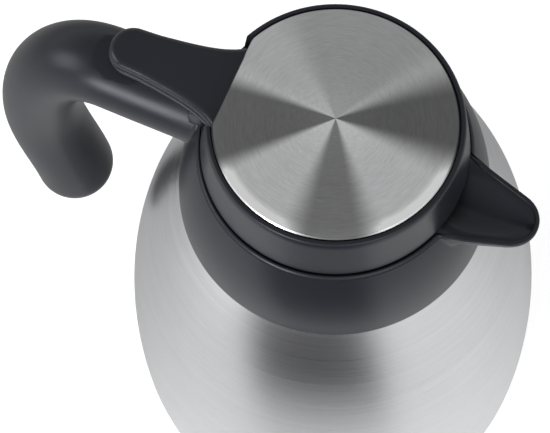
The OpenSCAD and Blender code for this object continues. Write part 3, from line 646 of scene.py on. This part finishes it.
# %% Outline of the lever
SEAT_X = 34.8
LEVER_X, LEVER_R = 68.8, 7.4
lever_half = bezier((SEAT_X, 15.2), (SEAT_X + 5.7, 10.8), (SEAT_X + 12.7, 9.6),
                    (LEVER_X - 6, 7.75), 40)
lever_half += arc(LEVER_X, 0, LEVER_R, 84, 0, 24)


def lever_ring(z, inset=0.0):
    """The lever's outline at a height, moved in by a distance, starting at the root's middle."""
    side = []
    last = len(lever_half) - 1
    for i, p in enumerate(lever_half):
        a, b = lever_half[max(i - 1, 0)], lever_half[min(i + 1, last)]
        d = hypot(b[0] - a[0], b[1] - a[1])
        t = (0, -1) if i == last else ((b[0] - a[0]) / d, (b[1] - a[1]) / d)
        side.append((p[0] + inset * t[1], p[1] - inset * t[0]))
    root_y = side[0][1]
    root = [(SEAT_X, root_y * i / 6) for i in range(7)]
    half = root + side[1:]
    upper = [(-x, y, z) for x, y in half]
    lower = [(-x, -y, z) for x, y in half[-2:0:-1]]
    return upper + lower


print("the lever's tip is at x", -lever_half[-1][0])

# %% Cap of the lever
LEVER_Z, CAP_T, ROLL = 276.5, 2.5, 2.3
rings = [lever_ring(LEVER_Z - CAP_T, 0.15), lever_ring(LEVER_Z - CAP_T + 0.15, 0)]
for i in range(11):
    a = radians(9 * i)
    rings.append(lever_ring(LEVER_Z - ROLL + ROLL * sin(a), ROLL * (1 - cos(a))))
cap = ring_stack("lever_top", rings)
finish_piece(cap, "lid", "black_plastic", "lever_cap", angle=40)

# %% Frame of the lever with its flange, groove and hinge
FRAME_Z = 270.5
levels = [(0, 0.45), (0.1, 0.1), (0.35, -0.2), (0.7, -0.35), (2.4, -0.35), (2.75, -0.25),
          (2.95, 0.0), (3.0, 0.2), (3.0, 0.6), (3.5, 0.6)]
arm = ring_stack("lever_arm", [lever_ring(FRAME_Z + up, inset) for up, inset in levels])
hollow = ring_stack("hollow", [lever_ring(FRAME_Z - 2, 1.8), lever_ring(FRAME_Z + 1.7, 1.8)])
combine(hollow, block((-47, -30, 260), (-20, 30, 280)), "DIFFERENCE")
combine(arm, hollow, "DIFFERENCE")
combine(arm, block((-46.5, -7.9, 268.6), (-39.75, 7.9, 272)), "UNION")
for side in (-1, 1):
    combine(arm, rod_y(HINGE_X, HINGE_Z, LUG_R, 3.4, side * 6.2), "UNION")
    y0, y1 = sorted((side * 4.5, side * 7.9))
    combine(arm, block((HINGE_X - 2.98, y0, HINGE_Z), (HINGE_X + 2.98, y1, 270)), "UNION")
finish_piece(arm, "lid", "black_plastic", "lever_frame", angle=38)

# %% [markdown]
# ## Finishes
# A finish is a small program of nodes. Writing it as sums reads better than wiring it, so one
# class wraps a socket and adds a Math node for each operator. Steady numbers are set on the shader
# itself.

# %% Sums that become nodes
class Value:
    """A socket that can be used in sums."""

    def __init__(self, finish, socket):
        self.finish, self.socket = finish, socket

    def math(self, operation, *others):
        return self.finish.node("ShaderNodeMath", {"operation": operation}, (self, *others)).out(0)

    def __add__(self, other):
        return self.math("ADD", other)

    __radd__ = __add__

    def __mul__(self, other):
        return self.math("MULTIPLY", other)

    __rmul__ = __mul__

    def __sub__(self, other):
        return self.math("SUBTRACT", other)

    def __rsub__(self, other):
        return self.finish.node("ShaderNodeMath", {"operation": "SUBTRACT"}, (other, self)).out(0)

    def __truediv__(self, other):
        return self.math("DIVIDE", other)

    def __rtruediv__(self, other):
        return self.finish.node("ShaderNodeMath", {"operation": "DIVIDE"}, (other, self)).out(0)


class Step:
    """A node whose outputs can go on into sums."""

    def __init__(self, finish, node):
        self.finish, self.made = finish, node

    def out(self, key):
        return Value(self.finish, self.made.outputs[key])


print("operators that make nodes: + - * /")

# %% A finish
class Finish:
    """A material with a Principled shader, and one method that adds any other node."""

    def __init__(self, name, **steady):
        self.material = bpy.data.materials.new(name)
        self.material.use_nodes = True
        self.tree = self.material.node_tree
        self.shader = self.tree.nodes["Principled BSDF"]
        for key, value in steady.items():
            title = key.replace("_", " ").title().replace("Ior", "IOR")
            self.shader.inputs[title].default_value = value

    def node(self, kind, settings=None, sockets=()):
        made = self.tree.nodes.new(kind)
        for key, value in (settings or {}).items():
            setattr(made, key, value)
        pairs = sockets.items() if isinstance(sockets, dict) else enumerate(sockets)
        for key, value in pairs:
            self.plug(made.inputs[key], value)
        return Step(self, made)

    def plug(self, socket, value):
        if isinstance(value, Value):
            self.tree.links.new(value.socket, socket)
        else:
            socket.default_value = value

    def feed(self, key, value):
        self.plug(self.shader.inputs[key], value)

    def place(self, scale=(1, 1, 1)):
        """The place on the object, stretched by a factor along each axis."""
        at = self.node("ShaderNodeTexCoord").out("Object")
        return self.node("ShaderNodeVectorMath", {"operation": "MULTIPLY"}, (at, scale)).out(0)

    def noise_at(self, key, where, detail, rough):
        """Noise of about 0 to 1 at a point (Vector) or at a number (W)."""
        step = self.node("ShaderNodeTexNoise", {"noise_dimensions": "1D" if key == "W" else "3D"},
                         {key: where, "Scale": 1.0, "Detail": detail, "Roughness": rough})
        return step.out(0)

    def noise(self, scale, detail=2.0, rough=0.5):
        """Noise on the object; scale is the number of cells per metre along each axis."""
        return self.noise_at("Vector", self.place(scale), detail, rough)

    def ramp(self, value, start, end, low=0.0, high=1.0):
        """Goes smoothly from low, where the value is start, to high, where it is end."""
        step = self.node("ShaderNodeMapRange", {"interpolation_type": "SMOOTHSTEP"},
                         (value, start, end, low, high))
        return step.out(0)

    def axes(self):
        at = self.node("ShaderNodeTexCoord").out("Object")
        step = self.node("ShaderNodeSeparateXYZ", None, (at,))
        return step.out(0), step.out(1), step.out(2)

    def grey(self, value, tint=(1, 1, 1)):
        """A colour from one number and a tint."""
        step = self.node("ShaderNodeCombineColor", None, tuple(value * t for t in tint))
        return step.out(0)

    def bump(self, height, depth):
        step = self.node("ShaderNodeBump", None,
                         {"Strength": 1.0, "Distance": depth, "Height": height})
        self.feed("Normal", step.out(0))


print("a finish needs its steady values and what changes over the surface")

# %% Directions round the axis
def bearing(x, y):
    """The direction of a place seen from the middle, in degrees from the spout."""
    return y.math("ARCTAN2", x) * (180 / pi)


def aside(turn, aim):
    """Degrees between a direction and an aim, 0 to 180."""
    return ((turn - aim + 540).math("MODULO", 360) - 180).math("ABSOLUTE")


print("directions are in degrees, 0 at the spout")

# %% [markdown]
# ### Black moulded plastic
# The mouldings are satin, not glossy: a fine spark-eroded grain scatters the light, and the colour
# is a soft black. The grain is a few tenths of a millimetre, the sheen varies slowly. The lever is
# a little glossier, because thumbs polish it, and the inner parts are duller.

# %% Black plastic
def black_plastic(name, base=0.015, rough=0.31):
    f = Finish(name, specular_ior_level=0.3, specular_tint=(0.88, 0.93, 1.0, 1))
    grain = f.noise((5200, 5200, 5200), 2.0, 0.6)
    cloud = f.noise((26, 26, 26), 3.0)
    f.feed("Base Color", f.grey((cloud - 0.5) * 0.006 + base, (0.88, 0.96, 1.28)))
    f.feed("Roughness", (cloud - 0.5) * 0.12 + (grain - 0.5) * 0.1 + rough)
    f.bump(grain, 0.00002)
    return f.material


satin_black = black_plastic("satin_black")
inner_black = black_plastic("inner_black", 0.02, 0.42)
lever_black = black_plastic("lever_black", 0.017, 0.23)
print("nodes in the black finish:", len(satin_black.node_tree.nodes))

# %% [markdown]
# ### Brushed steel
# The body is brushed as it turns, so the lines run round the axis: they change quickly with height
# and slowly along the circle. Stretching the noise by very different factors does that without a
# seam. Anisotropy spreads the shine across the lines.

# %% Steel for the body
def body_steel():
    f = Finish("brushed_body", metallic=1.0, anisotropic=0.65)
    lines = f.noise((11, 11, 3600), 3.0, 0.65)
    wide = f.noise((5, 5, 420), 3.0, 0.6)
    spots = f.noise((60, 60, 60), 4.0, 0.6)
    tone = (lines - 0.5) * 0.26 + (wide - 0.5) * 0.05 + (spots - 0.5) * 0.06 + 0.66
    f.feed("Base Color", f.grey(tone, (0.975, 0.985, 1.0)))
    f.feed("Roughness", (lines - 0.5) * 0.1 + (wide - 0.5) * 0.04 + 0.29)
    f.bump(lines, 0.00001)
    return f.material


def plain_steel(name, tone, rough):
    f = Finish(name, metallic=1.0)
    marks = f.noise((900, 900, 900), 3.0, 0.6)
    f.feed("Base Color", f.grey((marks - 0.5) * 0.08 + tone, (1.0, 0.995, 0.985)))
    f.feed("Roughness", (marks - 0.5) * 0.14 + rough)
    return f.material


brushed_body = body_steel()
plain = plain_steel("plain_steel", 0.62, 0.34)
bright = plain_steel("bright_steel", 0.72, 0.22)
print("nodes in the body's steel:", len(brushed_body.node_tree.nodes))

# %% [markdown]
# ### The plate's circular brushing and painted reflections
# Brushed in circles, a disc shows wedges of light and dark that meet in its middle, because each
# direction of the lines picks up another part of the room. Here the wedges are painted reflections
# in the colour, laid out by angle, each with soft sides, and fine rings and short arcs of brushing
# lie over them. Towards its near edge the dome bends down, so the light wedges end in a painted
# highlight along the rim there. A painted highlight lifts the middle, and the bevel is painted
# darker.

# %% Steel for the plate, with its painted reflections
# Middle of a painted reflection wedge in degrees from the spout, half of its width, softness and
# how much darker it is painted.
REFLECTION_WEDGES = ((24, 23, 11, 0.78), (-69, 19, 9, 0.64), (-157, 23, 6, 0.74), (94, 40, 14, 0.36),
          (150, 24, 10, 0.14))
STEEL_TONE = 0.67
# The rim's painted highlight: the direction in which it is brightest, and its strength.
RIM_HIGHLIGHT_AIM, RIM_PAINTED_HIGHLIGHT = -68, 0.85  # direction in which the plate's rim is brightest, and by how much
# How much a painted highlight lifts the plate's middle.
MIDDLE_PAINTED_HIGHLIGHT = 0.1
# Metres from the axis: where the rim's painted highlight starts and ends, and where the bevel's
# painted shade does.
RIM_START, RIM_END = 0.0335, 0.0382
BEVEL_START, BEVEL_END = 0.0374, 0.0377


def plate_steel():
    f = Finish("brushed_plate_with_painted_reflections", metallic=1.0, anisotropic=0.5)
    x, y, _ = f.axes()
    turn = bearing(x, y)
    r = (x * x + y * y).math("SQRT")
    light = 1.0
    # Painted reflections: each wedge darkens the colour, and the light wedges lie between them.
    for middle, half, soft, depth in REFLECTION_WEDGES:
        light = light * (1 - f.ramp(aside(turn, middle), half - soft, half + soft, depth, 0.0))
    # Painted highlight: on the near side the light wedges are painted brighter towards the rim.
    near = f.ramp(aside(turn, RIM_HIGHLIGHT_AIM), 62, 100, 1.0, 0.0)
    rim = f.ramp(r, RIM_START, RIM_END, 0.0, RIM_PAINTED_HIGHLIGHT)
    # Painted highlight at the middle of the plate.
    hub_highlight = f.ramp(r, 0.0, 0.02, MIDDLE_PAINTED_HIGHLIGHT, 0.0)
    tone = light * (light * light * near * rim + hub_highlight + STEEL_TONE)
    fine = f.noise_at("W", r * 2600, 3.0, 0.7)
    wide = f.noise_at("W", r * 260, 2.0, 0.6)
    along = f.node("ShaderNodeCombineXYZ", None, (r * 2400, x / r * 7, y / r * 7)).out(0)
    arcs = f.noise_at("Vector", along, 2.0, 0.6)
    # Painted shade: the bevel's colour is darkened to half, which tones down its bright line.
    bevel_shade = f.node("ShaderNodeMapRange", None, (r, BEVEL_START, BEVEL_END, 1.0, 0.5)).out(0)
    tone = tone * bevel_shade * ((fine - 0.5) * 0.16 + (wide - 0.5) * 0.1 + (arcs - 0.5) * 0.4 + 1)
    f.feed("Base Color", f.grey(tone, (0.985, 0.99, 1.0)))
    f.feed("Roughness", (fine - 0.5) * 0.1 + 0.34)
    return f.material


brushed_plate_with_painted_reflections = plate_steel()
print("the plate has", len(REFLECTION_WEDGES), "wedges and", len(brushed_plate_with_painted_reflections.node_tree.nodes), "nodes")

# %% [markdown]
# ### Rubber, silicone and foam
# None of these shows from outside while the carafe stands, but the foot shows when it is lifted
# and the seal when the lid is open.

# %% Soft finishes
def soft(name, colour, rough, grain):
    f = Finish(name, roughness=rough)
    fine = f.noise((grain, grain, grain), 3.0, 0.6)
    f.feed("Base Color", f.grey((fine - 0.5) * 0.1 * colour[1] + colour[1],
                                tuple(c / colour[1] for c in colour)))
    f.bump(fine, 0.00003)
    return f.material


rubber = soft("foot_rubber_finish", (0.02, 0.02, 0.021), 0.7, 2500)
silicone = soft("silicone_finish", (0.62, 0.61, 0.57), 0.45, 1500)
foam = soft("foam_finish", (0.7, 0.66, 0.52), 0.9, 3000)
adhesive = soft("adhesive_finish", (0.12, 0.12, 0.12), 0.7, 2000)
print("soft finishes:", rubber.name, silicone.name, foam.name, adhesive.name)

# %% Give every part its finish
FINISHES = {
    "body_steel": brushed_body, "flask_steel": plain, "base_steel": plain, "getter_alloy": plain,
    "foot_rubber": rubber, "silicone": silicone, "black_plastic": satin_black,
    "inner_plastic": inner_black, "screw_steel": plain, "pin_steel": bright,
    "spring_steel": bright, "plate_steel": brushed_plate_with_painted_reflections, "adhesive": adhesive, "foam": foam,
}


def dress(piece, material):
    piece.data.materials.clear()
    piece.data.materials.append(material)


for entry in frame["record"]["subparts"]:
    dress(nodes[entry["node"]], FINISHES[entry["material_slot"]])
for piece in (collar, handle, lid):
    dress(piece, satin_black)
for piece in (cap, arm):
    dress(piece, lever_black)
dress(pin, bright)
dress(body, brushed_body)
dress(plate, brushed_plate_with_painted_reflections)
print("finishes:", len(set(FINISHES.values())))

# %% [markdown]
# ## Floor, light and camera
# The floor is white, and the room is bright near the horizon and grey overhead, so that black tops
# stay black. Brushed steel shows its surroundings: the photograph has a dark patch under the
# collar, where the steel mirrors the dark room beyond the front edge of the table. That room is a
# dark sector of the floor which only rays that left something glossy can see, so the patch moves
# over the steel with the camera as a real reflection does.

# %% How bright the room is, and where
# Glow of the floor for the eye and for glossy rays.
FLOOR_GLOW, MIRROR_GLOW = 0.56, 0.13
# Strength of the room near the horizon, overhead, and overhead for glossy rays.
HORIZON, CEILING, MIRRORED = 0.85, 0.28, 0.55
# Heights, as sines, between which the horizon turns into the ceiling.
CEILING_START, CEILING_END = 0.2, 0.85
# Point of the dark sector, its direction, half of its angle and the softness of its sides.
DARK_X, DARK_Y = 0.049, -0.028
DARK_AIM, DARK_HALF, DARK_SOFT = -82.1, 32.0, 7.0
DARK_START, DARK_END = 0.09, 0.34  # metres from the axis, between which it sets in
# Direction of the viewer, and how much darker the floor is on the far side.
VIEWER, BEHIND = -62.0, 0.45
# Direction from which the table is a little brighter, and by how much.
WINDOW, WINDOW_GLOW = 0.0, 0.13
print("dark room at", DARK_AIM, "degrees")

# %% Floor
nothing_selected()
bpy.ops.mesh.primitive_grid_add(x_subdivisions=2, y_subdivisions=2, size=6)
floor = bpy.context.object
floor.name = "floor"
f = Finish("white_floor", roughness=0.9)
f.shader.inputs["Base Color"].default_value = (0.82, 0.82, 0.82, 1)
rays = f.node("ShaderNodeLightPath")
glossy = rays.out("Is Glossy Ray")
seen = rays.out("Is Camera Ray").math("MAXIMUM", rays.out("Is Transmission Ray"))
x, y, _ = f.axes()
turn = bearing(x, y)
window = f.ramp(aside(turn, WINDOW), 25, 80, WINDOW_GLOW, 0.0)
f.feed("Emission Color", f.grey(seen * FLOOR_GLOW + glossy * (window + MIRROR_GLOW)))
f.shader.inputs["Emission Strength"].default_value = 1.0
far = f.ramp((x * x + y * y).math("SQRT"), DARK_START, DARK_END)
dark = f.node("ShaderNodeEmission", None, {"Color": (0.085, 0.085, 0.09, 1), "Strength": 1.0})
mix = f.node("ShaderNodeMixShader")
sector = aside(bearing(x - DARK_X, y - DARK_Y), DARK_AIM)
dark_room = f.ramp(sector, DARK_HALF - DARK_SOFT, DARK_HALF + DARK_SOFT, 1.0, 0.0) * far
behind = f.ramp(aside(turn, VIEWER), 50, 125, 0.0, BEHIND)
f.plug(mix.made.inputs[0], dark_room.math("MAXIMUM", behind) * glossy)
f.tree.links.new(f.shader.outputs[0], mix.made.inputs[1])
f.tree.links.new(dark.made.outputs[0], mix.made.inputs[2])
f.tree.links.new(mix.made.outputs[0], f.tree.nodes["Material Output"].inputs[0])
dress(floor, f.material)
print("nodes in the floor:", len(f.tree.nodes))


# %% Room
class Room(Finish):
    """The world's nodes, written in the same way."""

    def __init__(self, name):
        self.material = bpy.data.worlds.new(name)
        self.material.use_nodes = True
        self.tree = self.material.node_tree
        self.shader = self.tree.nodes["Background"]


room = Room("room")
bpy.context.scene.world = room.material
look = room.node("ShaderNodeTexCoord").out("Generated")
height = room.node("ShaderNodeSeparateXYZ", None, (look,)).out(2)
rays = room.node("ShaderNodeLightPath")
overhead = rays.out("Is Glossy Ray") * (MIRRORED - CEILING) + CEILING
light = room.ramp(height, CEILING_START, CEILING_END, 1.0, 0.0) * (HORIZON - overhead) + overhead
seen = rays.out("Is Camera Ray")
light = light * (1 - seen) + seen
room.feed("Strength", light)
room.shader.inputs["Color"].default_value = (1, 1, 1, 1)
print("room: horizon", HORIZON, "ceiling", CEILING)


# %% Lamps
MIDDLE = (0, 0, 0.2)


def lamp(name, place, size, watts):
    """A round lamp that shines at the middle of the carafe."""
    data = bpy.data.lights.new(name, "AREA")
    data.shape, data.size, data.energy = "DISK", size, watts
    made = bpy.data.objects.new(name, data)
    bpy.context.scene.collection.objects.link(made)
    made.location = place
    made.rotation_mode = "QUATERNION"
    made.rotation_quaternion = (Vector(MIDDLE) - Vector(place)).to_track_quat("-Z", "Y")
    print(name, "lamp:", watts, "W")


lamp("right", (1.1, -1.0, 0.9), 0.9, 6)
lamp("left", (-1.2, -0.6, 0.7), 0.8, 5)
lamp("front", (-0.3, -1.5, 0.6), 0.6, 13)

# %% [markdown]
# ## The camera
# The view is the photograph's: from high up, close enough for the lid to look larger than it would
# from afar. The axis of the lens meets the picture off its middle, which the two shifts give.

# %% Camera
EYE = (0.0791, -0.1977, 0.8097)
HEADING = Vector((-0.1281, 0.3027, -0.9444)).normalized()
RIGHT = Vector((0.9209, 0.3897, 0.0)).normalized()
UP = RIGHT.cross(HEADING).normalized()
WIDTH, HEIGHT, FOCAL_PX = 550, 433, 1865.4
AXIS_X, AXIS_Y = 321.9, 210.7
SENSOR = 36
camera_data = bpy.data.cameras.new("camera")
camera_data.sensor_width = SENSOR
camera_data.lens = SENSOR * FOCAL_PX / WIDTH
camera_data.shift_x = (WIDTH / 2 - AXIS_X) / WIDTH
camera_data.shift_y = (AXIS_Y - HEIGHT / 2) / WIDTH
camera_data.clip_start, camera_data.clip_end = 0.02, 20
camera = bpy.data.objects.new("camera", camera_data)
bpy.context.scene.collection.objects.link(camera)
turn = Matrix((RIGHT, UP, -HEADING)).transposed()
camera.matrix_world = Matrix.Translation(EYE) @ turn.to_4x4()
bpy.context.scene.camera = camera
bpy.context.scene.view_settings.view_transform = "Standard"
print("lens of", round(camera_data.lens, 1), "mm")
